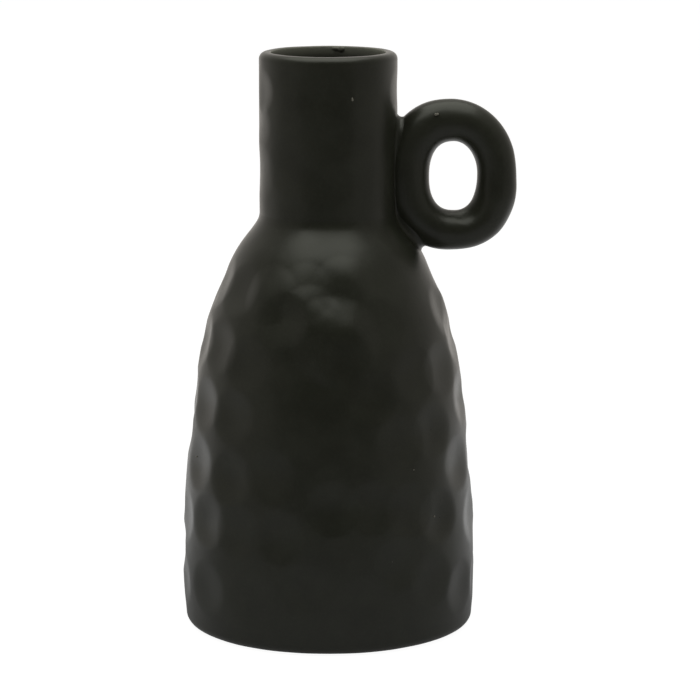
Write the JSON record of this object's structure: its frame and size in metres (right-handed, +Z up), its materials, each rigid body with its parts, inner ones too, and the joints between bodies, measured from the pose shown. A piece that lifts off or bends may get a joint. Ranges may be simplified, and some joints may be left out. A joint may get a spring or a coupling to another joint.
{
  "type": "lekythos",
  "caption": "Tall matt black bottle vase with a finger-dimpled body, a straight open neck and a closed ring handle pressed between the neck and the shoulder.",
  "frame": {"origin": "on the pot's axis, in the plane of the standing ring under the base", "axes": "+Z up along the pot's axis, out of the mouth; the ring handle points along +X; the front that the picture shows faces -Y"},
  "size_m": [0.1452, 0.1286, 0.25],
  "materials": {
    "black_glaze": "satin matt black glaze on stoneware, a little greyer where it runs thin over the edges of the dimples and the lip"
  },
  "bodies": {
    "root": {"base_slab": "black_glaze", "body_wall": "black_glaze", "neck": "black_glaze", "ring_handle": "black_glaze", "handle_slip": "black_glaze"}
  },
  "joints": []
}
